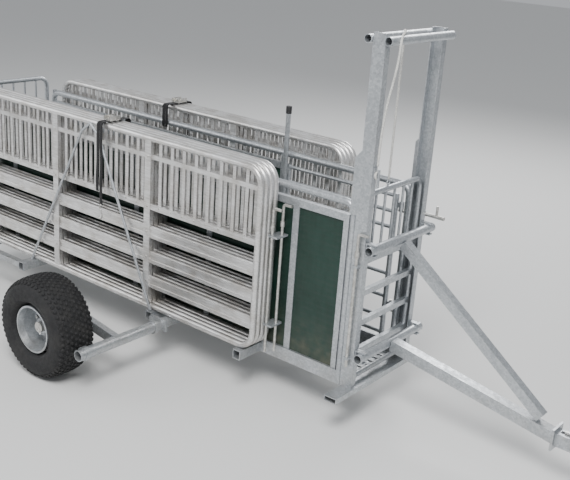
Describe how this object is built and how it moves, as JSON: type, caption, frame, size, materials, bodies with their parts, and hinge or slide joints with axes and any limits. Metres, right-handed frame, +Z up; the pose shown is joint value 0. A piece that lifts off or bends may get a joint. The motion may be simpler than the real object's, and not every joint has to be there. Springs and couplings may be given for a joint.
{
  "type": "mobile sheep handling race",
  "caption": "Towable sheep handling race with sheeted walls, drop gate, side draft gate, hoop rear gate, stowed hurdle stacks, swing-down wheels and drawbar.",
  "frame": {"origin": "centre of the bounding box at ground level", "axes": "+X points forward to the hitch, +Y to the left of the race, +Z up"},
  "size_m": [4.382, 2.25, 2.04],
  "materials": {
    "aluminium": "brushed",
    "galvanised": "satin",
    "green_sheet": "satin",
    "grip": "satin",
    "rope": "twisted",
    "tyre_rubber": "matte",
    "webbing": "woven",
    "zinc": "satin"
  },
  "bodies": {
    "race": {"front_posts": "galvanised", "top_cross_tubes": "galvanised", "front_foot": "galvanised", "near_wall_frame": "galvanised", "sheet_edging": "galvanised", "near_wall_sheet": "green_sheet", "far_wall_frame": "galvanised", "far_wall_sheet": "green_sheet", "sheet_studs": "galvanised", "floor_plate": "galvanised", "rear_foot": "galvanised", "outriggers": "galvanised", "near_hurdle_1": "aluminium", "near_hurdle_2": "aluminium", "near_hurdle_3": "aluminium", "near_hurdle_4": "aluminium", "far_hurdle_1": "aluminium", "far_hurdle_2": "aluminium", "far_hurdle_3": "aluminium", "far_hurdle_4": "aluminium", "hurdle_bars": "aluminium", "hurdle_bails": "galvanised", "hurdle_straps": "webbing", "strap_buckles": "zinc", "axle_bearings": "galvanised", "gate_rope": "rope", "haul_rope": "rope", "rope_cleat": "galvanised", "gate_hinge_pins": "zinc", "pin_lugs": "galvanised", "side_bolt_sleeve": "zinc", "drawbar_hooks": "galvanised"},
    "front_gate": {"gate_frame": "galvanised", "gate_rope_eye": "galvanised"},
    "draft_gate": {"draft_gate_frame": "galvanised", "draft_gate_lever": "galvanised", "draft_lever_grip": "grip"},
    "rear_gate": {"rear_gate_frame": "galvanised", "rear_bolt_sleeve": "zinc"},
    "rear_gate_bolt": {"rear_bolt": "zinc"},
    "near_arm": {"near_swing_arm": "galvanised", "near_arm_collars": "galvanised"},
    "far_arm": {"far_swing_arm": "galvanised", "far_arm_collars": "galvanised"},
    "near_wheel": {"near_tyre": "tyre_rubber", "near_rim": "galvanised", "near_wheel_nuts": "zinc"},
    "far_wheel": {"far_tyre": "tyre_rubber", "far_rim": "galvanised", "far_wheel_nuts": "zinc"},
    "drawbar": {"drawbar_frame": "galvanised", "coupler_body": "galvanised", "coupler_latch_pin": "zinc"},
    "latch": {"coupler_latch": "zinc"},
    "near_outer_drop_pin": {"near_outer_pin": "zinc"},
    "near_inner_drop_pin": {"near_inner_pin": "zinc"},
    "far_outer_drop_pin": {"far_outer_pin": "zinc"},
    "far_inner_drop_pin": {"far_inner_pin": "zinc"},
    "post_drop_pin": {"near_post_pin": "zinc"},
    "side_gate_bolt": {"side_bolt": "zinc"}
  },
  "joints": [
    {"name": "front_gate_lift", "type": "slide", "parent": "race", "child": "front_gate", "axis": [0, 0, 1], "range_m": [0, 0.68], "deforming": ["gate_rope"]},
    {"name": "draft_gate_swing", "type": "hinge", "parent": "race", "child": "draft_gate", "pos_m": [0.899, 0.255, 0.7], "axis": [0, 0, 1], "range_deg": [0, 28]},
    {"name": "rear_gate_swing", "type": "hinge", "parent": "race", "child": "rear_gate", "pos_m": [-2.116, 0.273, 0.7], "axis": [0, 0, -1], "range_deg": [0, 100]},
    {"name": "rear_bolt_slide", "type": "slide", "parent": "rear_gate", "child": "rear_gate_bolt", "axis": [0, -1, 0], "range_m": [0, 0.035]},
    {"name": "near_arm_swing", "type": "hinge", "parent": "race", "child": "near_arm", "pos_m": [-0.181, 0, 0.238], "axis": [0, 1, 0], "range_deg": [-21, 53]},
    {"name": "far_arm_swing", "type": "hinge", "parent": "race", "child": "far_arm", "pos_m": [-0.181, 0, 0.238], "axis": [0, 1, 0], "range_deg": [-21, 53]},
    {"name": "near_wheel_spin", "type": "hinge", "parent": "near_arm", "child": "near_wheel", "pos_m": [-0.51933, -1, 0.288], "axis": [0, 1, 0], "continuous": true},
    {"name": "far_wheel_spin", "type": "hinge", "parent": "far_arm", "child": "far_wheel", "pos_m": [-0.51933, 1, 0.288], "axis": [0, 1, 0], "continuous": true},
    {"name": "drawbar_pull", "type": "slide", "parent": "race", "child": "drawbar", "axis": [1, 0, 0], "range_m": [0, 0.15]},
    {"name": "coupler_latch_lift", "type": "hinge", "parent": "drawbar", "child": "latch", "pos_m": [2.079, 0, 0.286], "axis": [0, -1, 0], "range_deg": [0, 55]},
    {"name": "near_outer_pin_lift", "type": "slide", "parent": "race", "child": "near_outer_drop_pin", "axis": [0, 0, 1], "range_m": [0, 0.12]},
    {"name": "near_inner_pin_lift", "type": "slide", "parent": "race", "child": "near_inner_drop_pin", "axis": [0, 0, 1], "range_m": [0, 0.12]},
    {"name": "far_outer_pin_lift", "type": "slide", "parent": "race", "child": "far_outer_drop_pin", "axis": [0, 0, 1], "range_m": [0, 0.12]},
    {"name": "far_inner_pin_lift", "type": "slide", "parent": "race", "child": "far_inner_drop_pin", "axis": [0, 0, 1], "range_m": [0, 0.12]},
    {"name": "post_pin_lift", "type": "slide", "parent": "race", "child": "post_drop_pin", "axis": [0, 0, 1], "range_m": [0, 0.12]},
    {"name": "side_bolt_slide", "type": "slide", "parent": "race", "child": "side_gate_bolt", "axis": [1, 0, 0], "range_m": [0, 0.035]}
  ]
}
